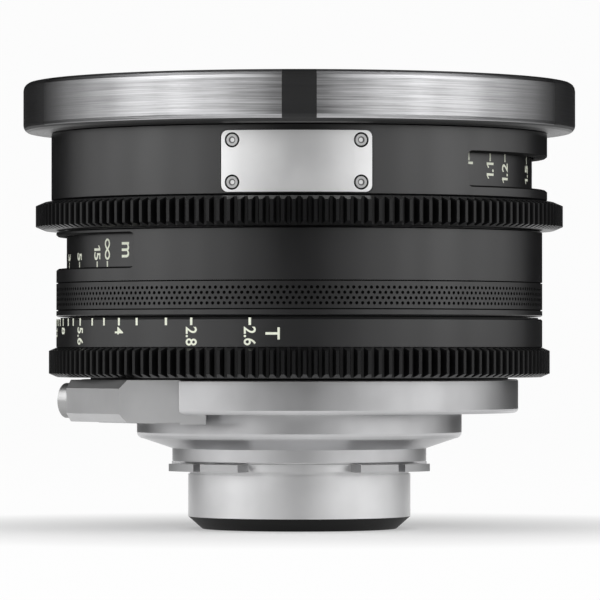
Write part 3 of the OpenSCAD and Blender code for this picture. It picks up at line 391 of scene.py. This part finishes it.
def round_screws(mat, reach, color):
    """The material with another colour in circles round the nameplate's screw axes."""
    tree = mat.node_tree
    turn, _, z = polar(tree)
    aside = math_node(tree, "ABSOLUTE", math_node(tree, "SUBTRACT", turn, PLATE_AZ))
    arc = math_node(tree, "SUBTRACT", aside, PLATE_SCREW_AZ)
    across = math_node(tree, "MULTIPLY", arc, math.radians(1.0) * PLATE_R)
    rise = math_node(tree, "ABSOLUTE", math_node(tree, "SUBTRACT", z, PLATE_MID_Z))
    along = math_node(tree, "SUBTRACT", rise, PLATE_SCREW_Z)
    return recolored(mat, math_node(tree, "LESS_THAN", distance(tree, across, along), reach), color)


def plate_face(name):
    """Pale metal, with painted shade round the sunk screws."""
    mat = satin(name, (0.96, 0.96, 0.965), 1.0, 0.42, depth=0.02)
    return round_screws(mat, SINK_SHADE_R, grey(0.012))


def plate_screw(name):
    """Screw heads with painted shade in the socket and a painted highlight on its floor."""
    mat = satin(name, grey(0.55), 1.0, 0.34, depth=0.01)
    return round_screws(round_screws(mat, SOCKET_SHADE_R, grey(0.16)), SOCKET_HIGHLIGHT_R, grey(0.85))


def streaks(tree, place, along, across, detail):
    """Noise drawn out round the axis."""
    turn, radius, z = place
    joined = tree.nodes.new("ShaderNodeCombineXYZ")
    for i, (value, scale) in enumerate(((turn, along), (z, across), (radius, across))):
        tree.links.new(math_node(tree, "MULTIPLY", value, scale), joined.inputs[i])
    return noise(tree, joined.outputs[0], scale=1.0, detail=detail)


def black_fields(tree, place):
    """Sockets: 1 where the front ring is black, and 0 to 1 away from the black at its sides, where painted
    shade darkens the silver.
    """
    turn, radius, z = place
    around = math_node(tree, "ABSOLUTE", turn)
    from_side = math_node(tree, "ABSOLUTE", math_node(tree, "SUBTRACT", around, 90.0))
    field = math_node(tree, "LESS_THAN", around, FIELD_FRONT)
    for operation, value, limit in (("GREATER_THAN", around, 180.0 - FIELD_FRONT),
                                    ("LESS_THAN", from_side, FIELD_SIDE),
                                    ("LESS_THAN", radius, RING_BORE),
                                    ("LESS_THAN", z, RING_LIP)):
        field = math_node(tree, "MAXIMUM", field, math_node(tree, operation, value, limit))
    return field, ramp(tree, from_side, FIELD_SIDE, FIELD_SIDE + PAINTED_SHADE_REACH, 0.0, 1.0)


def brushed_ring(name, color, black):
    """Ring brushed round its axis, with black fields, a black bore, and painted shade on the silver beside
    the side fields.
    """
    mat, tree, bsdf = shader(name, color, 1.0, 0.34)
    bsdf.inputs["Anisotropic"].default_value = 0.6
    bsdf.inputs["Anisotropic Rotation"].default_value = 0.25
    tangent = tree.nodes.new("ShaderNodeTangent")
    tangent.direction_type = "RADIAL"
    tangent.axis = "Z"
    tree.links.new(tangent.outputs[0], bsdf.inputs["Tangent"])

    place = polar(tree)
    fine = math_node(tree, "MULTIPLY", streaks(tree, place, *STREAKS_FINE), FINE_SHARE)
    broad = math_node(tree, "MULTIPLY", streaks(tree, place, *STREAKS_BROAD), 1 - FINE_SHARE)
    lines = math_node(tree, "ADD", fine, broad)
    darker, lighter = (shaded(color, k) for k in STREAK_COLOR)
    silver = mix_color(tree, spread(tree, lines, 0.0, 1.0), darker, lighter)
    field, clear = black_fields(tree, place)
    # Painted shade: the silver darkens towards the black fields at the sides
    silver = mix_color(tree, clear, shaded(color, PAINTED_SHADE_SHARE), silver)
    bare = math_node(tree, "SUBTRACT", 1.0, field)
    dull = math_node(tree, "MULTIPLY", field, FIELD_DULL)
    gloss = math_node(tree, "ADD", spread(tree, lines, *STREAK_GLOSS), dull)

    tree.links.new(mix_color(tree, field, silver, black), bsdf.inputs["Base Color"])
    tree.links.new(bare, bsdf.inputs["Metallic"])
    tree.links.new(gloss, bsdf.inputs["Roughness"])
    bump(tree, bsdf, math_node(tree, "MULTIPLY", lines, bare), STREAK_DEPTH)
    return mat


def coated_glass(name):
    """Optical glass with a thin coating that tints its reflections."""
    mat, tree, bsdf = shader(name, (0.97, 0.98, 0.97), 0.0, 0.0)
    bsdf.inputs["Transmission Weight"].default_value = 1.0
    bsdf.inputs["IOR"].default_value = GLASS_IOR
    bsdf.inputs["Thin Film Thickness"].default_value = COATING_NM
    bsdf.inputs["Thin Film IOR"].default_value = COATING_IOR
    dust = noise(tree, object_coords(tree), DUST, detail=2.0)
    tree.links.new(spread(tree, dust, 0.0, DUST_GLOSS), bsdf.inputs["Roughness"])
    return mat


def make_materials():
    """All finishes of the part, by the name of their slot or of their own."""
    return {
        "black_anodised": anodised("black_anodised"),
        "gear_black": satin("gear_black", (0.004, 0.004, 0.0043), 0.0, 0.34, specular=0.3),
        "grip_black": satin("grip_black", (0.005, 0.005, 0.0053), 0.0, 0.31, depth=0.02, specular=0.74),
        "plate_silver": plate_face("plate_silver"),
        "plate_screw": plate_screw("plate_screw"),
        "scale_black": painted_groove_shade("scale_black"),
        # Painted shade for the dimples, the grip's edge grooves and the window edges: darker and duller than
        # the black around them
        "painted_hole_shade": satin("painted_hole_shade", grey(0.0015), 0.0, 0.85, specular=0.15),
        "baffle_black": satin("baffle_black", grey(0.004), 0.0, 0.5, specular=0.2),
        "matte_black": satin("matte_black", (0.01, 0.01, 0.0105), 0.0, 0.55),
        "inner_metal": satin("inner_metal", (0.25, 0.25, 0.26), 1.0, 0.4),
        "satin_silver": satin("satin_silver", (0.58, 0.58, 0.588), 1.0, 0.305, depth=0.01),
        "brushed_silver": brushed_ring("brushed_silver", (0.53, 0.53, 0.54), (0.012, 0.012, 0.0125)),
        "connector_metal": satin("connector_metal", grey(0.42), 1.0, 0.42, depth=0.02),
        "screw_steel": satin("screw_steel", grey(0.42), 1.0, 0.3, depth=0.05),
        "blade_steel": satin("blade_steel", (0.05, 0.05, 0.055), 1.0, 0.4),
        "brass": satin("brass", (0.68, 0.5, 0.2), 1.0, 0.3),
        "insulator": satin("insulator", grey(0.03), 0.0, 0.5),
        "coated_glass": coated_glass("coated_glass"),
        "mount_chrome": darker_tabs("mount_chrome", (0.69, 0.69, 0.696), (0.46, 0.46, 0.465)),
        "port_silver": satin("port_silver", (0.66, 0.66, 0.665), 1.0, 0.38, depth=0.02),
        "paint": satin("scale_paint", PAINT, 0.0, 0.5, grain=PAINT_GRAIN),
    }


def dress_nodes(materials):
    """Gives each node the finish of its slot, or its own kind of that finish."""
    own = {
        "lens_mount": "mount_chrome", "data_port": "port_silver",
        "nameplate_screws": "plate_screw", "iris_scale_ring": "scale_black", "rear_baffle": "baffle_black",
    }
    for row in frame["record"]["subparts"]:
        obj = nodes[row["node"]]
        obj.data.materials.clear()
        obj.data.materials.append(materials[own.get(row["node"], row["material_slot"])])


def piece(bm, name, material, body):
    """Turns a bmesh into an object of the part that rides on a body."""
    mesh = bpy.data.meshes.new(name)
    bm.to_mesh(mesh)
    bm.free()
    mesh.materials.append(material)
    obj = bpy.data.objects.new(name, mesh)
    bpy.context.scene.collection.objects.link(obj)
    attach(obj, body)
    return obj


def figure(char):
    """Filled outline of one figure in ems, from x = 0: its points, faces and width."""
    curve = bpy.data.curves.new("figure", "FONT")
    curve.body = char
    curve.resolution_u = FIGURE_STEPS
    curve.offset = 0.0 if char == "∞" else FIGURE_BOLD
    obj = bpy.data.objects.new("figure", curve)
    bpy.context.scene.collection.objects.link(obj)
    graph = bpy.context.evaluated_depsgraph_get()
    mesh = bpy.data.meshes.new_from_object(obj.evaluated_get(graph))
    points = [(v.co.x, v.co.y) for v in mesh.vertices]
    faces = [tuple(p.vertices) for p in mesh.polygons]
    bpy.data.objects.remove(obj)
    bpy.data.meshes.remove(mesh)
    if char == "1":
        n = len(points)
        points += ONE_FLAG
        faces.append(tuple(range(n, n + len(ONE_FLAG))))
    left = min(p[0] for p in points)
    points = [(x - left, y) for x, y in points]
    return points, faces, max(p[0] for p in points)


class Marks:
    """Painted figures and ticks on a round surface, laid out flat and wrapped at the end."""

    def __init__(self, radius):
        self.radius = radius
        self.points = []
        self.faces = []
        self.figures = {}

    def add(self, points, faces):
        n = len(self.points)
        self.points += points
        self.faces += [tuple(n + i for i in f) for f in faces]

    def tick(self, azimuth, z0, z1, width=TICK_W):
        s = math.radians(azimuth) * self.radius
        w = width / 2
        self.add([(s - w, z0), (s + w, z0), (s + w, z1), (s - w, z1)], [(0, 1, 2, 3)])

    def text(self, body, azimuth, z, down, at_end, cap=CAP_H, stretch=1.0):
        """Figures along the axis, read downwards or upwards, with their first or last end at z."""
        em = cap / CAP_EM
        along = em * stretch
        s = math.radians(azimuth) * self.radius
        laid, reach = [], 0.0
        for char in body:
            if char not in self.figures:
                self.figures[char] = figure(char)
            points, faces, width = self.figures[char]
            laid.append((reach, points, faces))
            reach += width + FIGURE_GAP
        length = reach - FIGURE_GAP
        ys = [y for _, points, _ in laid for _, y in points]
        middle = (min(ys) + max(ys)) / 2
        way = -1 if down else 1
        start = z - way * length * along if at_end else z
        for offset, points, faces in laid:
            self.add(
                [(s - way * (y - middle) * em, start + way * (offset + x) * along) for x, y in points],
                faces,
            )

    def build(self, name, material, body):
        """Thickens the marks, wraps them round the surface and makes them a piece."""
        bm = bmesh.new()
        verts = [bm.verts.new((s, z, PAINT_OUT)) for s, z in self.points]
        for f in self.faces:
            bm.faces.new([verts[i] for i in f])
        bmesh.ops.remove_doubles(bm, verts=bm.verts[:], dist=PAINT_MERGE)
        bmesh.ops.recalc_face_normals(bm, faces=bm.faces[:])
        made = bmesh.ops.extrude_face_region(bm, geom=bm.faces[:], use_keep_orig=True)
        for v in made["geom"]:
            if isinstance(v, bmesh.types.BMVert):
                v.co.z = -PAINT_IN
        for v in bm.verts:
            turn, r = v.co.x / self.radius, self.radius + v.co.z
            v.co = Vector((r * math.sin(turn), -r * math.cos(turn), v.co.y))
        bmesh.ops.recalc_face_normals(bm, faces=bm.faces[:])
        piece(bm, name, material, body)


def iris_scale(paint):
    """Stops on the iris scale ring, read downwards from their ticks."""
    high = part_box("iris_scale_ring")[1]
    marks = Marks(high.x)
    top = high.z - STOP_EDGE
    tick_end = top - STOP_TICK_L
    for body, azimuth in STOPS.items():
        marks.tick(azimuth, tick_end, top)
        marks.text(body, azimuth, top - STOP_TEXT, down=True, at_end=False, stretch=STOP_STRETCH)
    for azimuth in STOP_TICKS:
        marks.tick(azimuth, tick_end, top)
    sign, azimuth = STOP_SIGN
    marks.text(sign, azimuth, top - SIGN_TEXT, down=True, at_end=False, cap=SIGN_CAP)
    marks.build("iris_scale_marks", paint, "iris_ring")


def focus_scale(paint):
    """Distances on the focus scale sleeve, once for each window."""
    marks = Marks(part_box("focus_scale_sleeve")[1].x)
    low = WINDOW_LEFT[0]
    high = WINDOW_RIGHT[1]
    low_text = low + LEFT_TICK + TEXT_GAP
    high_text = high - RIGHT_TICK - TEXT_GAP
    for body, turn in DISTANCES.items():
        cap = FAR_CAP if body == "∞" else CAP_H
        marks.tick(FAR_LEFT - turn, low - TICK_UNDER, low + LEFT_TICK, FOCUS_TICK_W)
        marks.text(body, FAR_LEFT - turn, low_text, down=True, at_end=True, cap=cap, stretch=FOCUS_STRETCH)
        marks.tick(FAR_RIGHT - turn, high - RIGHT_TICK, high + TICK_UNDER, FOCUS_TICK_W)
        marks.text(body, FAR_RIGHT - turn, high_text, down=False, at_end=True, cap=cap, stretch=FOCUS_STRETCH)
    sign, turn = UNIT_SIGN
    marks.text(sign, FAR_LEFT + turn, low + UNIT_AT, down=True, at_end=False, cap=UNIT_CAP)
    marks.text(sign, FAR_RIGHT + turn, high - UNIT_AT, down=False, at_end=False, cap=UNIT_CAP)
    marks.build("focus_scale_marks", paint, "focus_ring")


def index_marks(paint):
    """Lines on the fixed barrels that the scales are read against."""
    low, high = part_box("main_barrel")
    main = Marks(high.x)
    for azimuth in (-INDEX_AZ, INDEX_AZ):
        main.tick(azimuth, low.z + IRIS_INDEX[0], low.z + IRIS_INDEX[1])
    main.tick(-INDEX_AZ, WINDOW_LEFT[0] - LEFT_INDEX[0], WINDOW_LEFT[0] - LEFT_INDEX[1])
    main.build("main_index_marks", paint, "lens_body")
    front = Marks(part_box("front_barrel")[1].x)
    front.tick(INDEX_AZ, WINDOW_RIGHT[1] + RIGHT_INDEX[0], WINDOW_RIGHT[1] + RIGHT_INDEX[1])
    front.build("front_index_mark", paint, "lens_body")


def window_outline(u, v, corner):
    """Round-cornered outline about the centres of its corners, with points along its long sides."""
    points = []
    for start, cu, cv in ((-90, u, -v), (0, u, v), (90, -u, v), (180, -u, -v)):
        for i in range(CORNER_STEPS + 1):
            t = math.radians(start + 90 * i / CORNER_STEPS)
            points.append((cu + corner * math.cos(t), cv + corner * math.sin(t)))
        if start in (0, 180):
            end = points[-1][1]
            points += [(cu - 2 * cu * i / SIDE_STEPS, end) for i in range(1, SIDE_STEPS)]
    return points


def window_edge(name, material, azimuth, barrel, heights):
    """Sloped edge round a window in a barrel."""
    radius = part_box(barrel)[1].x
    z0, z1 = heights
    u = radius * math.sin(math.radians(WINDOW_HALF)) - WINDOW_CORNER
    v = (z1 - z0) / 2 - WINDOW_CORNER
    a = math.radians(azimuth)
    bm = bmesh.new()

    def loop(inset, r):
        made = []
        for x, z in window_outline(u, v, WINDOW_CORNER - inset):
            out = math.sqrt(r * r - x * x)
            made.append(bm.verts.new((
                out * math.sin(a) + x * math.cos(a), -out * math.cos(a) + x * math.sin(a), (z0 + z1) / 2 + z,
            )))
        return made

    inset, drop = WINDOW_SLOPE
    steps = ((0.0, radius - WINDOW_SINK), (inset, radius - drop), (inset, BARREL_BORE), (0.0, BARREL_BORE))
    loops = [loop(*step) for step in steps]
    for p, q in zip(loops, loops[1:] + loops[:1]):
        for i in range(len(p)):
            n = (i + 1) % len(p)
            bm.faces.new((p[i], p[n], q[n], q[i]))
    bmesh.ops.recalc_face_normals(bm, faces=bm.faces[:])
    piece(bm, name, material, "lens_body")


def grip_sleeve(grip, hole):
    """Band with staggered dimples, in place of the plain band; the dimples and its edge grooves take the
    painted shade.
    """
    low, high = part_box("grip_band")
    outer = high.x
    inner = outer - GRIP_WALL
    pitch = 2 * math.pi / GRIP_DOTS
    count = 2 * GRIP_DOTS
    half_row = (GRIP_ROWS[1] - GRIP_ROWS[0]) / 2
    edges = [GRIP_ROWS[0] - half_row]
    edges += [(a + b) / 2 for a, b in zip(GRIP_ROWS, GRIP_ROWS[1:])]
    edges.append(GRIP_ROWS[-1] + half_row)
    bm = bmesh.new()

    def at(turn, r, z):
        return bm.verts.new((r * math.sin(turn), -r * math.cos(turn), z))

    def ring(r, z):
        return [at(i * pitch / 2, r, z) for i in range(count)]

    def dimple(border, turn, z):
        """Octagonal hole within a border of eight points, both listed from the lower left."""
        rim, floor = [], []
        for j in range(GRIP_SIDES):
            a = math.radians(-135 + 360 * j / GRIP_SIDES)
            across, up = GRIP_DOT_R * math.cos(a), GRIP_DOT_R * math.sin(a)
            rim.append(at(turn + across / outer, outer, z + up))
            floor.append(at(turn + GRIP_FLOOR * across / outer, outer - GRIP_DEPTH, z + GRIP_FLOOR * up))
        # Walls and floor of each dimple take the second material, the painted shade
        for j in range(GRIP_SIDES):
            n = (j + 1) % GRIP_SIDES
            bm.faces.new((border[j], border[n], rim[n], rim[j]))
            bm.faces.new((rim[j], rim[n], floor[n], floor[j])).material_index = 1
        bm.faces.new(floor).material_index = 1

    rings = [ring(outer, z) for z in edges]
    for row, z in enumerate(GRIP_ROWS):
        below, above = rings[row], rings[row + 1]
        shift = row % 2
        sides = [at((2 * i + shift) * pitch / 2, outer, z) for i in range(GRIP_DOTS)]
        for i in range(GRIP_DOTS):
            k = [(2 * i + shift + j) % count for j in range(3)]
            border = [below[j] for j in k] + [sides[(i + 1) % GRIP_DOTS]]
            border += [above[j] for j in reversed(k)] + [sides[i]]
            dimple(border, (2 * i + shift + 1) * pitch / 2, z)

    width, depth = GRIP_LINE
    profile = [
        (outer, low.z + width), (outer - depth, low.z + width), (outer - depth, low.z), (inner, low.z),
        (inner, high.z), (outer - depth, high.z), (outer - depth, high.z - width), (outer, high.z - width),
    ]
    loops = [rings[0]] + [ring(r, z) for r, z in profile] + [rings[-1]]
    # Edge grooves and the inner wall take the painted shade, the outer face the grip's black
    for k, (a, b) in enumerate(zip(loops, loops[1:])):
        for i in range(count):
            n = (i + 1) % count
            bm.faces.new((a[i], b[i], b[n], a[n])).material_index = 0 if k in (0, len(profile)) else 1
    bmesh.ops.recalc_face_normals(bm, faces=bm.faces[:])
    band = piece(bm, "grip_sleeve", grip, "lens_body")
    band.data.materials.append(hole)
    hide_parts("grip_band")


def white_to_view(name, color):
    """Paper that is white to views, reflections and glass, darker near the lens from painted shade and from
    its real shadow there.
    """
    mat, tree, bsdf = shader(name, color, 0.0, 0.9)
    path = tree.nodes.new("ShaderNodeLightPath")
    white = tree.nodes.new("ShaderNodeEmission")
    white.inputs["Strength"].default_value = 1.0
    mix = tree.nodes.new("ShaderNodeMixShader")
    seen = math_node(tree, "MAXIMUM", path.outputs["Is Camera Ray"], path.outputs["Is Transmission Ray"])
    seen = math_node(tree, "MAXIMUM", seen, path.outputs["Is Glossy Ray"])
    # Painted shade: less white near the lens, so the paper there is darker than farther out
    _, away, _ = polar(tree)
    share = ramp(tree, away, *PAPER_SHADE_RADII, *PAPER_SHARE)
    tree.links.new(math_node(tree, "MULTIPLY", seen, share), mix.inputs[0])
    tree.links.new(bsdf.outputs[0], mix.inputs[1])
    tree.links.new(white.outputs[0], mix.inputs[2])
    tree.links.new(mix.outputs[0], tree.nodes["Material Output"].inputs["Surface"])
    return mat


def paper_sweep():
    """White paper under and behind the lens, bent up at its far end."""
    z = cad_box[0].z - SWEEP_GAP
    bend = SWEEP_BACK - SWEEP_R
    profile = [(SWEEP_FRONT, z), (bend, z)]
    for i in range(1, SWEEP_STEPS + 1):
        t = math.pi / 2 * i / SWEEP_STEPS
        profile.append((bend + SWEEP_R * math.sin(t), z + SWEEP_R - SWEEP_R * math.cos(t)))
    profile.append((SWEEP_BACK, z + SWEEP_H))
    near, far = SWEEP_W
    bm = bmesh.new()
    rows = []
    for y, h in profile:
        half = near + (far - near) * (y - SWEEP_FRONT) / (SWEEP_BACK - SWEEP_FRONT)
        rows.append([bm.verts.new((x, y, h)) for x in (-half, half)])
    for p, q in zip(rows, rows[1:]):
        bm.faces.new((p[0], p[1], q[1], q[0])).smooth = True
    mesh = bpy.data.meshes.new("paper_sweep")
    bm.to_mesh(mesh)
    bm.free()
    mesh.materials.append(white_to_view("paper", grey(0.86)))
    obj = bpy.data.objects.new("paper_sweep", mesh)
    bpy.context.scene.collection.objects.link(obj)


def dim_room():
    """Dark grey world round the paper and the lights."""
    world = bpy.data.worlds.new("studio")
    bpy.context.scene.world = world
    world.use_nodes = True
    back = world.node_tree.nodes["Background"]
    back.inputs["Color"].default_value = (*ROOM, 1)
    back.inputs["Strength"].default_value = 1.0


def softbox(name, azimuth, width, z0, z1, radiance):
    """Area light that faces the lens, of a given brightness."""
    light = bpy.data.lights.new(name, "AREA")
    light.shape = "RECTANGLE"
    light.size = width
    light.size_y = z1 - z0
    light.energy = radiance * math.pi * width * (z1 - z0)
    obj = bpy.data.objects.new(name, light)
    a = math.radians(azimuth)
    obj.location = (LIGHT_DISTANCE * math.sin(a), -LIGHT_DISTANCE * math.cos(a), (z0 + z1) / 2)
    aim = Vector((0, 0, LIGHT_AIM_Z)) - obj.location
    obj.rotation_euler = aim.to_track_quat("-Z", "Y").to_euler()
    bpy.context.scene.collection.objects.link(obj)


def lights():
    """Softboxes side by side in an arc on the left and on the right."""
    for start, end, z0, z1, radiance in LIGHT_ARC:
        width = 2 * LIGHT_DISTANCE * math.tan(math.radians(end - start) / 2)
        middle = (start + end) / 2
        softbox(f"softbox_left_{start}", -middle, width, z0, z1, radiance)
        softbox(f"softbox_right_{start}", middle, width, z0, z1, radiance)


def camera():
    """Camera at the photograph's viewing angle."""
    data = bpy.data.cameras.new("camera")
    data.lens = CAMERA_LENS
    data.sensor_width = SENSOR
    data.clip_start, data.clip_end = CAMERA_CLIP
    obj = bpy.data.objects.new("camera", data)
    obj.location = CAMERA_AT
    obj.rotation_euler = (Vector(CAMERA_AIM) - obj.location).to_track_quat("-Z", "Y").to_euler()
    bpy.context.scene.collection.objects.link(obj)
    bpy.context.scene.camera = obj


materials = make_materials()
dress_nodes(materials)
iris_scale(materials["paint"])
focus_scale(materials["paint"])
index_marks(materials["paint"])
# Window edges in painted shade
window_edge("main_window_edge", materials["painted_hole_shade"], -INDEX_AZ, "main_barrel", WINDOW_LEFT)
window_edge("front_window_edge", materials["painted_hole_shade"], INDEX_AZ, "front_barrel", WINDOW_RIGHT)
grip_sleeve(materials["grip_black"], materials["painted_hole_shade"])
paper_sweep()
dim_room()
lights()
camera()
bpy.context.scene.view_settings.view_transform = "Standard"
